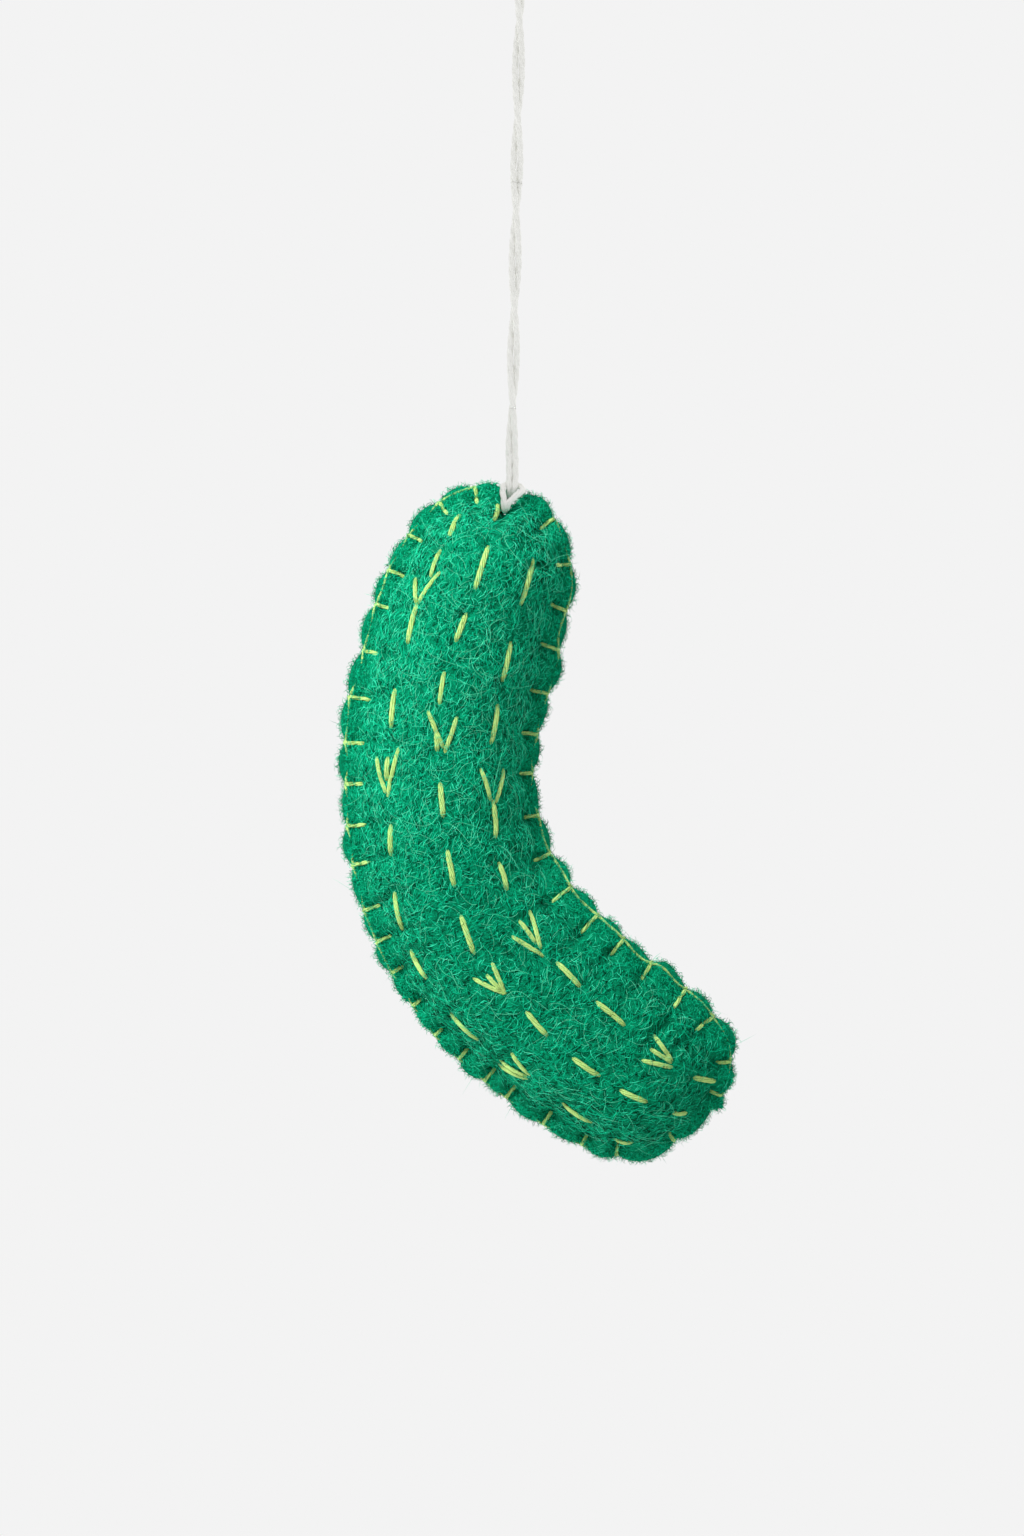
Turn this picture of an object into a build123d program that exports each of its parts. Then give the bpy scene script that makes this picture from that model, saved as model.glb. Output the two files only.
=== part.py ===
from build123d import *
from math import asin, atan2, cos, degrees, hypot, pi, radians, sin, sqrt, tan
import os

# Felt pickle ornament: two felt panels sewn edge to edge round a fibre filling, rows of running
# stitch on the front, and a twisted cotton string looped through the top edge to hang it by.
# Millimetres. +Z is up, -Y is the front. The origin is the point of the hanging eye that bears
# on a hook, and the string hangs straight down from it.

# Felt panels
felt = 1.8
top_crown = 11.2
tail_crown = 11.4
lip = 3.6
string_lip = 3.9
front_scallop = 0.7
back_scallop = 0.8
back_overhang = 0.4

# Middle line of the pickle: its heading at the top end, then three bends, top to bottom
top_heading = -115
upper_bend_radius = 71
upper_bend_turn = 30.5
middle_bend_radius = 40
middle_bend_turn = 40
lower_bend_radius = 77
lower_bend_turn = 17

# Half widths from the middle line to the seam, at the two ends and two places between them
top_half_width = 13.5
shoulder_half_width = 14.9
belly_half_width = 15.4
tail_half_width = 14.7
shoulder_at = 15
belly_at = 62

# Sewing thread, blanket stitch round the edge and running stitch on the front
thread_radius = 0.42
thread_sink = 0.12
edge_stitches = 42
edge_leg = 2.8
edge_leg_splay = 1.0
stitch_length = 6.0
float_depth = 0.7
sprig_length = 6.5
sprig_spread = 2.6
sprig_foot = 1.1
sprig_tail = 4.6

# Each row runs down the front from one distance past the top of the middle line to another past
# its lower end, and drifts sideways between two offsets. Its stitches, top to bottom: a dash is
# one running stitch, V and W are sprigs of two and three legs, Y is a V with a tail.
outer_row_start = 5
outer_row_end = 3
outer_row_top_offset = -7.2
outer_row_low_offset = -10.8
outer_row_pattern = "--Y-W----W--"
middle_row_start = 7.5
middle_row_end = 7.5
middle_row_top_offset = -0.5
middle_row_low_offset = -4.2
middle_row_pattern = "----V---W----"
inner_row_start = 2
inner_row_end = 8.5
inner_row_top_offset = 7.6
inner_row_low_offset = 3.2
inner_row_pattern = "---Y-W--W-"

# String: two cotton strands, a hitch through the top edge, an eye and a knot at the top
strand_radius = 0.475
strand_spacing = 1.12
hang_length = 96
hole_depth = 3.3
hitch_angle = 8.8
hitch_height = 9.2
hitch_leg_spread = 1.9
hitch_rise = 1.6
hitch_end_run = 1.35
eye_length = 12
eye_half_width = 3.0
eye_side_run = 2.4
eye_end_run = 0.95
string_turns = 2.5
knot_turns = 2.5
knot_pitch = 1.45
tail_length = 13
tail_flare = 1.2
strand_clearance = 0.08
swing_gap = 0.9
twist_gap = 0.3
nod_gap = 0.4

# How finely curves are stepped
seam_samples = 240
dome_stations = 8
twist_steps_per_turn = 8
knot_steps_per_turn = 10

bends = (
    (upper_bend_radius, radians(upper_bend_turn)),
    (middle_bend_radius, radians(middle_bend_turn)),
    (lower_bend_radius, radians(lower_bend_turn)),
)
spine_length = sum(radius * turn for radius, turn in bends)


def spine_at(distance):
    """Place and heading of the middle line, in the seam plane, at a distance from its top end."""
    x, z, heading = 0.0, 0.0, radians(top_heading)
    for radius, turn in bends:
        step = min(max(distance, 0), radius * turn) / radius
        x += radius * (sin(heading + step) - sin(heading))
        z += radius * (cos(heading) - cos(heading + step))
        heading += step
        distance -= radius * turn
    return x, z, heading


def half_width_at(distance):
    """Half width of the seam, eased between the four places where it is given."""
    places = (0, shoulder_at, belly_at, spine_length)
    widths = (top_half_width, shoulder_half_width, belly_half_width, tail_half_width)
    for k in range(3):
        if distance <= places[k + 1]:
            share = max(distance - places[k], 0) / (places[k + 1] - places[k])
            return widths[k] + (widths[k + 1] - widths[k]) * (1 - cos(pi * share)) / 2
    return widths[3]


def plan_point(distance, offset):
    """Point of the seam plane beside the middle line; past its ends the line runs on straight."""
    inside = min(max(distance, 0), spine_length)
    x, z, heading = spine_at(inside)
    past = distance - inside
    return Vector(
        x + past * cos(heading) - offset * sin(heading),
        0,
        z + past * sin(heading) + offset * cos(heading),
    )


def lip_at(distance):
    """Depth of the flat lip along the seam, deeper at the top end for the string's hole."""
    share = min(distance / shoulder_at, 1)
    return string_lip + (lip - string_lip) * (1 - cos(pi * share)) / 2


def dome_arc(distance):
    """Half width, rise, radius and centre depth of the filling's cross-section."""
    width = half_width_at(distance) - lip_at(distance)
    rise = top_crown + (tail_crown - top_crown) * distance / spine_length - felt
    radius = (width ** 2 + rise ** 2) / (2 * rise)
    return width, rise, radius, radius - rise


def front_point(distance, offset, lift):
    """Point at a height above the front felt, over a point beside the middle line."""
    inside = min(max(distance, 0), spine_length)
    past = distance - inside
    width, rise, radius, depth = dome_arc(inside)
    outer = radius + felt
    reach = hypot(past, offset)
    slope = asin(min(reach / outer, 1))
    grow = (outer + lift) / outer
    flat = plan_point(inside + past * grow if past else inside, offset * grow)
    return Vector(flat.X, depth - (outer + lift) * cos(slope), flat.Z)


def lens_section(distance, thickness):
    """Plane, half width and rise of a cross-section of the filling, grown by a thickness."""
    width, rise, radius, depth = dome_arc(distance)
    edge = sqrt((radius + thickness) ** 2 - depth ** 2)
    top = rise + thickness
    x, z, heading = spine_at(distance)
    plane = Plane(
        origin=(x, 0, z),
        x_dir=(-sin(heading), 0, cos(heading)),
        z_dir=(cos(heading), 0, sin(heading)),
    )
    return plane, edge, top


def edge_chord(edge, top):
    """Half width of a lens of the given half width and rise, at half its rise."""
    radius = (edge ** 2 + top ** 2) / (2 * top)
    return sqrt(radius ** 2 - (radius - top / 2) ** 2)


def lens_pieces(thickness):
    """Stuffed body in three pieces: lens sections lofted along the middle line, and its domed ends."""
    sections = []
    for k in range(dome_stations):
        plane, edge, top = lens_section(spine_length * k / (dome_stations - 1), thickness)
        front = ThreePointArc((-edge, 0), (0, top), (edge, 0))
        back = ThreePointArc((edge, 0), (0, -top), (-edge, 0))
        sections.append(plane * make_face([front, back]))
    pieces = [loft(sections)]
    for distance, turn in ((0, 180), (spine_length, -180)):
        plane, edge, top = lens_section(distance, thickness)
        front = ThreePointArc((edge, 0), (edge_chord(edge, top), top / 2), (0, top))
        back = ThreePointArc((0, -top), (edge_chord(edge, top), -top / 2), (edge, 0))
        half = plane * make_face([front, Line((0, top), (0, -top)), back])
        pieces.append(revolve(half, Axis(plane.origin, plane.y_dir), turn))
    return pieces


# Seam: once round the edge, from the string's notch down the outer side, round the lower end and
# back up the inner side
seam_line = []
for k in range(seam_samples):
    angle = radians(hitch_angle) + (pi / 2 - radians(hitch_angle)) * k / seam_samples
    seam_line.append(plan_point(-top_half_width * cos(angle), -top_half_width * sin(angle)))
for k in range(seam_samples):
    distance = spine_length * k / seam_samples
    seam_line.append(plan_point(distance, -half_width_at(distance)))
for k in range(seam_samples):
    angle = pi * k / seam_samples - pi / 2
    past = tail_half_width * cos(angle)
    seam_line.append(plan_point(spine_length + past, tail_half_width * sin(angle)))
for k in range(seam_samples):
    distance = spine_length * (1 - k / seam_samples)
    seam_line.append(plan_point(distance, half_width_at(distance)))
for k in range(seam_samples + 1):
    angle = (pi / 2 + radians(hitch_angle)) * k / seam_samples - pi / 2
    seam_line.append(plan_point(-top_half_width * cos(angle), -top_half_width * sin(angle)))
seam_lengths = [0.0]
for before, after in zip(seam_line, seam_line[1:]):
    seam_lengths.append(seam_lengths[-1] + (after - before).length)
edge_pitch = seam_lengths[-1] / edge_stitches


def seam_at(place):
    """Seam point, outward direction and running direction at a place counted in stitches."""
    target = place % edge_stitches * edge_pitch
    k = 1
    while seam_lengths[k] < target:
        k += 1
    run = (seam_line[k] - seam_line[k - 1]).normalized()
    point = seam_line[k] - run * (seam_lengths[k] - target)
    return point, Vector(run.Z, 0, -run.X), run


# The hole that the string goes through is the point that the pickle hangs by
notch, notch_out, notch_run = seam_at(0)
hole = notch - notch_out * hole_depth


def scalloped_edge(outset, bulge):
    """Outline of a felt panel: one round lobe between each two edge stitches."""
    arcs = []
    for k in range(edge_stitches):
        start, start_out, run = seam_at(k)
        middle, middle_out, run = seam_at(k + 0.5)
        end, end_out, run = seam_at(k + 1)
        arcs.append(
            ThreePointArc(
                start + start_out * outset,
                middle + middle_out * (outset + bulge),
                end + end_out * outset,
            )
        )
    return Face(Wire(arcs))


def felt_panel(outset, bulge, keep):
    """One panel: a flat lip, open from halfway into the dome's wall, and the domed wall in three."""
    lip_plate = extrude(scalloped_edge(outset, bulge), felt, dir=(0, 1, 0), both=True)
    for middle in lens_pieces(felt / 2):
        lip_plate -= middle
    panel = split(lip_plate, Plane.XZ, keep=keep)
    for outside, inside in zip(lens_pieces(felt), lens_pieces(0)):
        panel += split(outside - inside, Plane.XZ, keep=keep)
    return panel


def tube(points, radius, sides):
    """A thread or strand through points: flat sides that meet on a mitre plane at each bend."""
    start = Plane(origin=points[0], z_dir=points[1] - points[0])
    ring = [Vector(*corner) for corner in (start * RegularPolygon(radius, sides)).vertices()]
    faces = [Face(Wire.make_polygon(ring))]
    for k in range(1, len(points)):
        along = (points[k] - points[k - 1]).normalized()
        mitre = along
        if k + 1 < len(points):
            mitre = along + (points[k + 1] - points[k]).normalized()
        after = [corner + along * ((points[k] - corner).dot(mitre) / along.dot(mitre)) for corner in ring]
        for j in range(sides):
            n = (j + 1) % sides
            faces.append(Face(Wire.make_polygon([ring[j], ring[n], after[n], after[j]])))
        ring = after
    faces.append(Face(Wire.make_polygon(ring)))
    return Solid(Shell(faces))


def edge_stitch_thread():
    """Blanket stitch: along the seam, and at each stitch in, through both felts and back."""
    side = felt + thread_radius - thread_sink
    points = []
    for k in range(1, edge_stitches):
        point, out, run = seam_at(k)
        half = run * (edge_leg_splay / 2)
        rim = point + out * thread_radius
        foot = point - out * edge_leg
        front = Vector(0, -side, 0)
        points += [rim - half, rim - half + front, foot + front]
        points += [foot - front, rim + half - front, rim + half]
    return tube(points, thread_radius, 6)


def row_place(start, end, top_offset, low_offset, share):
    """Distance and offset of a point of a stitch row, at a share of the row's own length."""
    samples = []
    total = 0.0
    for k in range(seam_samples + 1):
        along = k / seam_samples
        distance = (spine_length + start + end) * along - start
        offset = top_offset + (low_offset - top_offset) * along
        point = plan_point(distance, offset)
        total += (point - samples[-1][2]).length if samples else 0
        samples.append((distance, offset, point, total))
    for distance, offset, point, length in samples:
        if length >= total * share - 1e-9:
            return distance, offset, total


def row_thread(start, end, top_offset, low_offset, pattern):
    """One row of running stitch with its sprigs, as the single thread it is sewn with."""
    strokes = []
    for k, mark in enumerate(pattern):
        distance, offset, total = row_place(start, end, top_offset, low_offset, k / (len(pattern) - 1))
        half = stitch_length / 2
        if mark == "-":
            strokes.append((distance - half, offset, distance + half, offset))
            continue
        sides = (-1, 0, 1) if mark == "W" else (-1, 1)
        tip = distance - sprig_length / 2
        foot = distance + sprig_length / 2
        for side in sides:
            strokes.append((tip, offset + side * sprig_spread, foot, offset + side * sprig_foot))
        if mark == "Y":
            strokes.append((foot + sprig_foot, offset, foot + sprig_foot + sprig_tail, offset))
    lift = thread_radius - thread_sink
    inside = -felt - float_depth
    points = []
    for from_at, from_offset, to_at, to_offset in strokes:
        middle_at = (from_at + to_at) / 2
        middle_offset = (from_offset + to_offset) / 2
        points.append(front_point(from_at, from_offset, inside))
        points.append(front_point(from_at, from_offset, lift))
        points.append(front_point(middle_at, middle_offset, lift))
        points.append(front_point(to_at, to_offset, lift))
        points.append(front_point(to_at, to_offset, inside))
    return tube(points, thread_radius, 6)


def bend_radii(points):
    """Largest even bend at each corner of a cord's route."""
    radii = []
    for before, corner, after in zip(points, points[1:], points[2:]):
        turn = radians((corner - before).get_angle(after - corner))
        shorter = min((corner - before).length, (after - corner).length)
        radii.append(0.45 * shorter / tan(turn / 2))
    return radii


def cord(name, points, section):
    """A round strand along straight runs joined by arcs."""
    radii = bend_radii(points)
    path = FilletPolyline(*points, radius=radii)
    solid = sweep(Plane(origin=points[0], z_dir=points[1] - points[0]) * Circle(section), path=path)
    print(name, "bend radii", [round(radius, 2) for radius in radii])
    print(name, "volume", round(solid.volume, 2), "of", round(pi * section ** 2 * path.length, 2))
    return solid


def string_pair(top, bottom, from_turn, to_turn):
    """Two strands twisted about each other down the string."""
    steps = round((to_turn - from_turn) * twist_steps_per_turn)
    strands = []
    for side in (0, pi):
        points = []
        for k in range(steps + 1):
            angle = side + 2 * pi * (from_turn + (to_turn - from_turn) * k / steps)
            drop = top + (bottom - top) * k / steps
            points.append(Vector(strand_spacing / 2 * cos(angle), strand_spacing / 2 * sin(angle), drop))
        strands.append(tube(points, strand_radius, 8))
    return Compound(children=strands)


# Pickle, built round its hole and then turned to hang with its weight under the string
filling = Part() + lens_pieces(0)
pickle = {
    "front_felt": felt_panel(0, front_scallop, Keep.TOP),
    "back_felt": felt_panel(back_overhang, back_scallop, Keep.BOTTOM),
    "fibre_filling": filling,
    "edge_stitch": edge_stitch_thread(),
    "outer_row_stitch": row_thread(
        outer_row_start, outer_row_end, outer_row_top_offset, outer_row_low_offset, outer_row_pattern
    ),
    "middle_row_stitch": row_thread(
        middle_row_start, middle_row_end, middle_row_top_offset, middle_row_low_offset, middle_row_pattern
    ),
    "inner_row_stitch": row_thread(
        inner_row_start, inner_row_end, inner_row_top_offset, inner_row_low_offset, inner_row_pattern
    ),
}
total_volume = sum(solid.volume for solid in pickle.values())
weight = Vector(0, 0, 0)
for solid in pickle.values():
    weight += (solid.center(CenterOf.MASS) - hole) * (solid.volume / total_volume)
tilt = degrees(atan2(weight.X, -weight.Z))
hang = Pos(0, 0, -hang_length) * Rot(0, tilt, 0) * Pos(-hole.X, -hole.Y, -hole.Z)
print("weight below the hole", weight, "tilt", tilt)
parts = {}
for name, solid in pickle.items():
    parts[name] = hang * solid

# String hitch: from the string down behind the lip, through the hole, up the front, across before
# the string and back the same way
beside = strand_spacing / 2
behind = felt + strand_radius
edge_top = hole_depth + front_scallop
nod_at = -hang_length + hitch_height
half_hitch = [
    Vector(-beside, 0, hitch_height - nod_gap / 2),
    Vector(-beside, 0, hitch_height - nod_gap / 2 - hitch_end_run),
    Vector(-beside, behind, edge_top),
    Vector(-beside, behind, 0),
    Vector(-beside, -behind, 0),
    Vector(-hitch_leg_spread, -behind, edge_top),
    Vector(-beside - strand_radius, -strand_radius, edge_top + hitch_rise),
]
other_half = [Vector(-point.X, point.Y, point.Z) for point in reversed(half_hitch)]
hitch_route = [point + Vector(0, 0, -hang_length) for point in half_hitch + other_half]
parts["string_hitch"] = cord("string_hitch", hitch_route, strand_radius)

# String, in two lengths that turn on each other
throat_at = -eye_length
twist_at = (throat_at + nod_at) / 2
parts["upper_string"] = string_pair(
    throat_at - swing_gap / 2, twist_at + twist_gap / 2, 0, string_turns / 2
)
parts["lower_string"] = string_pair(
    twist_at - twist_gap / 2, nod_at + nod_gap / 2, string_turns / 2, string_turns
)

# Hanging eye: the strands part below the knot, go through it and end in two tails
eye_strands = []
for side in (-1, 1):
    route = [
        Vector(side * beside, 0, throat_at + swing_gap / 2),
        Vector(side * beside, 0, throat_at + swing_gap / 2 + eye_end_run),
        Vector(side * eye_half_width, 0, (throat_at - eye_side_run) / 2),
        Vector(side * eye_half_width, 0, (throat_at + eye_side_run) / 2),
        Vector(side * beside, 0, 0),
        Vector(side * beside, 0, knot_turns * knot_pitch + 2 * strand_radius),
        Vector(side * (beside + tail_flare), side * tail_flare / 2, tail_length),
    ]
    eye_strands.append(cord("hanging_eye", route, strand_radius))
parts["hanging_eye"] = Compound(children=eye_strands)

# End knot: a strand's end wound round both strands
knot_radius = beside + 2 * strand_radius + strand_clearance
knot_points = []
for k in range(round(knot_turns * knot_steps_per_turn) + 1):
    turn = k / knot_steps_per_turn
    knot_points.append(
        Vector(
            knot_radius * cos(2 * pi * turn),
            knot_radius * sin(2 * pi * turn),
            strand_radius + knot_pitch * turn,
        )
    )
parts["end_knot"] = tube(knot_points, strand_radius, 6)
print("end_knot least gap between turns", round(knot_pitch - 2 * strand_radius, 3))

os.makedirs("parts", exist_ok=True)
for name, solid in parts.items():
    export_step(solid, f"parts/{name}.step")
    print(name, "volume", round(solid.volume, 2))
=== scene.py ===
import math
import bpy
import numpy as np
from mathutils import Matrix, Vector
from mathutils.bvhtree import BVHTree


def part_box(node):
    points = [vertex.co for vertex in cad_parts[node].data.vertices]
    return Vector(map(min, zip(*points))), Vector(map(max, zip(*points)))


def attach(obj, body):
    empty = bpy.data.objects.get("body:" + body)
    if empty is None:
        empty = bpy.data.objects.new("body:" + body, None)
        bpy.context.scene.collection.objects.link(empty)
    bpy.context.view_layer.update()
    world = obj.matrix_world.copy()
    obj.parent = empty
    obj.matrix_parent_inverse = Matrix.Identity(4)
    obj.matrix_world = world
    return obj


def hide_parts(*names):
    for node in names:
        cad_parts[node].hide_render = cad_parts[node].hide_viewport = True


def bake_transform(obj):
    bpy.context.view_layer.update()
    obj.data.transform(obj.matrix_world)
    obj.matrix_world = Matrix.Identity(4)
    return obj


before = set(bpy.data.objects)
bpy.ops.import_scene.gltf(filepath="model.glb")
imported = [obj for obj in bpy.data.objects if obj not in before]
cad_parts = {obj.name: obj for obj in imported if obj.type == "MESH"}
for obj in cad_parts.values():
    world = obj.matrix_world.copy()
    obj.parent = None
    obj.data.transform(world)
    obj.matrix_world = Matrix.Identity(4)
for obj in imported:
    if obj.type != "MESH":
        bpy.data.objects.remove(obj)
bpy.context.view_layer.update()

# Fibre filling
# Loose white polyester fibre, teased out and pushed between the two felts before the last stitches
# close the edge. Nothing but the felt holds it, and it gives the pickle its round body.
mm = 0.001
tiny = 1e-12

# The whole body hangs from the hole that the string goes through
strand_radius = 0.475 * mm
hole_depth = 3.3 * mm
hitch_angle = math.radians(8.8)
hole_offset = -0.9 * mm
hole = Vector((hole_offset, 0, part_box("string_hitch")[0].z + strand_radius))

# Its middle line runs down in three bends, with a half width that changes along them
top_heading = math.radians(-115)
bends = (
    (71 * mm, math.radians(30.5)),
    (40 * mm, math.radians(40)),
    (77 * mm, math.radians(17)),
)
body_length = sum(radius * turn for radius, turn in bends)
width_places = np.array((0, 15 * mm, 62 * mm, body_length))
half_widths = np.array((13.5, 14.9, 15.4, 14.7)) * mm
felt = 1.8 * mm
lip = 3.6 * mm
crown = 11.3 * mm

# The sewn edge turns a little towards the viewer on the left half way down, and on the right below
turn_places = np.array((-15, 0, 22, 40, 50, 62, 78, 100)) * mm
turns = np.radians((0, 0, 9, 7, 0, -13, -19, -17))


def eased(places, values, distance):
    """Values given at places down the body, eased from each to the next."""
    place = np.clip(distance, places[0], places[-1])
    step = np.clip(np.searchsorted(places, place, side="right") - 1, 0, len(places) - 2)
    share = (place - places[step]) / (places[step + 1] - places[step])
    smooth = (1 - np.cos(np.pi * share)) / 2
    return values[step] + (values[step + 1] - values[step]) * smooth


def middle_line(distance):
    """Place and heading of the pickle's middle line at distances from its top end."""
    left = np.clip(np.asarray(distance, float), 0, body_length)
    x, z = np.zeros_like(left), np.zeros_like(left)
    heading = np.full_like(left, top_heading)
    for radius, turn in bends:
        step = np.clip(left, 0, radius * turn) / radius
        x += radius * (np.sin(heading + step) - np.sin(heading))
        z += radius * (np.cos(heading) - np.cos(heading + step))
        heading += step
        left = left - radius * turn
    return x, z, heading


hole_reach = half_widths[0] - hole_depth
line_top_x = hole.x - hole_reach * math.cos(top_heading + math.pi + hitch_angle)
line_top_z = hole.z - hole_reach * math.sin(top_heading + math.pi + hitch_angle)

# Columns run out from the middle line to the seam: down the left side, round the lower end, up the
# right side and over the top
side_steps = 300
end_steps = 132
down = np.linspace(0, body_length, side_steps + 1)
low_angles = np.linspace(-math.pi / 2, math.pi / 2, end_steps + 1)[1:-1]
top_angles = low_angles + math.pi
level = np.zeros_like(down)
sideways = np.ones_like(down)
distance = np.concatenate([down, low_angles * 0 + body_length, down[::-1], top_angles * 0])
along = np.concatenate([level, np.cos(low_angles), level, np.cos(top_angles)])
across = np.concatenate([-sideways, np.sin(low_angles), sideways, np.sin(top_angles)])
spine_row = np.round(distance / body_length * side_steps).astype(int)
columns = len(distance)
half_width = eased(width_places, half_widths, distance)
line_x, line_z, heading = middle_line(distance)
line_x += line_top_x
line_z += line_top_z
roll = eased(turn_places, turns, distance)


def body_places(reach, height):
    """Places at a reach out from the middle line in each column, and a height before the seam."""
    sideways = reach * across[:, None]
    lengthways = reach * along[:, None]
    turned = sideways + height * np.sin(roll)[:, None]
    front = height * np.cos(roll)[:, None] - sideways * np.tan(roll)[:, None]
    x = line_x[:, None] + lengthways * np.cos(heading)[:, None] - turned * np.sin(heading)[:, None]
    z = line_z[:, None] + lengthways * np.sin(heading)[:, None] + turned * np.cos(heading)[:, None]
    return np.stack([x, -front, z], axis=-1)


def dome_height(reach, thickness):
    """Height of the stuffed dome, grown by a felt's thickness, at a reach from the middle line."""
    width = (half_width - lip)[:, None]
    rise = crown - felt
    radius = (width ** 2 + rise ** 2) / (2 * rise)
    return np.sqrt(np.maximum((radius + thickness) ** 2 - reach ** 2, tiny)) - (radius - rise)


def grid_faces(rows):
    """Faces of a closed shell of columns by rows, between one middle line and the other."""
    spine = side_steps + 1
    near = np.arange(columns)
    after = np.roll(near, -1)
    first = spine + near * rows
    quads, triangles = [], []
    for k in range(rows - 1):
        now, then = spine + near * rows + k, spine + after * rows + k
        quads.append(np.stack([now, now + 1, then + 1, then], axis=1))
    far_line = spine_row + spine + columns * rows
    for ring, row, flip in ((first, spine_row, False), (first + rows - 1, far_line, True)):
        same = row[near] == row[after]
        quad = np.stack([row, ring, ring[after], row[after]], axis=1)
        quads.append(quad[~same][:, ::-1] if flip else quad[~same])
        triangle = np.stack([row, ring, ring[after]], axis=1)
        triangles.append(triangle[same][:, ::-1] if flip else triangle[same])
    return np.concatenate(quads), np.concatenate(triangles)


def put_in_scene(name, data):
    """A new object of the scene, from a mesh, curve, lamp or camera."""
    piece = bpy.data.objects.new(name, data)
    bpy.context.scene.collection.objects.link(piece)
    return piece


def make_piece(name, places, quads, triangles, material):
    """A smooth mesh object from arrays of places and of four-sided and three-sided faces."""
    mesh = bpy.data.meshes.new(name)
    corners = np.concatenate([quads.ravel(), triangles.ravel()])
    triangle_starts = len(quads) * 4 + np.arange(len(triangles)) * 3
    starts = np.concatenate([np.arange(len(quads)) * 4, triangle_starts])
    mesh.vertices.add(len(places))
    mesh.vertices.foreach_set("co", np.asarray(places, np.float32).ravel())
    mesh.loops.add(len(corners))
    mesh.loops.foreach_set("vertex_index", corners.astype(np.int32))
    mesh.polygons.add(len(starts))
    mesh.polygons.foreach_set("loop_start", starts.astype(np.int32))
    mesh.update(calc_edges=True)
    mesh.validate()
    mesh.shade_smooth()
    mesh.materials.append(material)
    return put_in_scene(name, mesh)


def add_node(tree, kind, values=(), **settings):
    """A shader node with settings, and its inputs set or linked by name."""
    node = tree.nodes.new(kind)
    for name, value in settings.items():
        setattr(node, name, value)
    for name, value in dict(values).items():
        if isinstance(value, bpy.types.NodeSocket):
            tree.links.new(value, node.inputs[name])
        else:
            node.inputs[name].default_value = value
    return node


def colour(red, green, blue):
    """An eight-bit screen colour as the linear colour a shader takes."""
    linear = []
    for value in (red / 255, green / 255, blue / 255):
        linear.append(value / 12.92 if value <= 0.04045 else ((value + 0.055) / 1.055) ** 2.4)
    return (*linear, 1)


# Three layers of fibres, each with its pitch and a shift that keeps it clear of the others
fibre_layers = ((0.55, 0.0), (0.95, 3.1), (1.6, 7.7))
noise_middle = 0.5
fibre_line = 0.055
fine_layer = 0.7
patch_pitch = 0.16
line_weight = 0.75


def fibre_mat_group():
    """Tangled fibres: a light line along each fibre, dark between them, with soft patches."""
    group = bpy.data.node_groups.new("fibre mat", "ShaderNodeTree")
    for name, kind in (("Fibre Size", "NodeSocketFloat"), ("Deep", "NodeSocketColor"),
                       ("Middle", "NodeSocketColor"), ("Light", "NodeSocketColor")):
        group.interface.new_socket(name, in_out="INPUT", socket_type=kind)
    for name, kind in (("Color", "NodeSocketColor"), ("Height", "NodeSocketFloat")):
        group.interface.new_socket(name, in_out="OUTPUT", socket_type=kind)
    inside = group.nodes.new("NodeGroupInput")
    outside = group.nodes.new("NodeGroupOutput")

    def maths(operation, *values):
        """The outcome of one sum on values or sockets."""
        return add_node(group, "ShaderNodeMath", enumerate(values), operation=operation).outputs[0]

    places = add_node(group, "ShaderNodeTexCoord").outputs["Object"]
    pitch = maths("DIVIDE", 1.0, inside.outputs["Fibre Size"])
    layers = []
    for times, offset in fibre_layers:
        shift = add_node(group, "ShaderNodeVectorMath", {0: places, 1: (offset, offset, offset)},
                         operation="ADD")
        noise = add_node(group, "ShaderNodeTexNoise",
                         {"Vector": shift.outputs[0], "Scale": maths("MULTIPLY", pitch, times),
                          "Detail": 3.0, "Roughness": 0.6, "Distortion": 1.4})
        away = maths("ABSOLUTE", maths("SUBTRACT", noise.outputs["Fac"], noise_middle))
        line = add_node(group, "ShaderNodeMapRange",
                        {"Value": away, "From Max": fibre_line, "To Min": 1.0, "To Max": 0.0})
        layers.append(line.outputs[0])
    coarse = maths("MAXIMUM", layers[0], layers[1])
    lines = maths("MAXIMUM", coarse, maths("MULTIPLY", layers[2], fine_layer))
    patch = add_node(group, "ShaderNodeTexNoise",
                     {"Vector": places, "Scale": maths("MULTIPLY", pitch, patch_pitch),
                      "Detail": 4.0, "Roughness": 0.6})
    base = add_node(group, "ShaderNodeMapRange",
                    {"Value": patch.outputs["Fac"], "From Min": 0.15, "From Max": 0.85})
    ground = add_node(group, "ShaderNodeMix",
                      {"Factor": base.outputs[0], "A": inside.outputs["Deep"], "B": inside.outputs["Middle"]},
                      data_type="RGBA")
    dressed = add_node(group, "ShaderNodeMix",
                       {"Factor": maths("MULTIPLY", lines, line_weight), "A": ground.outputs["Result"],
                        "B": inside.outputs["Light"]}, data_type="RGBA")
    group.links.new(dressed.outputs["Result"], outside.inputs["Color"])
    group.links.new(lines, outside.inputs["Height"])
    return group


fibre_mat = fibre_mat_group()


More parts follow.
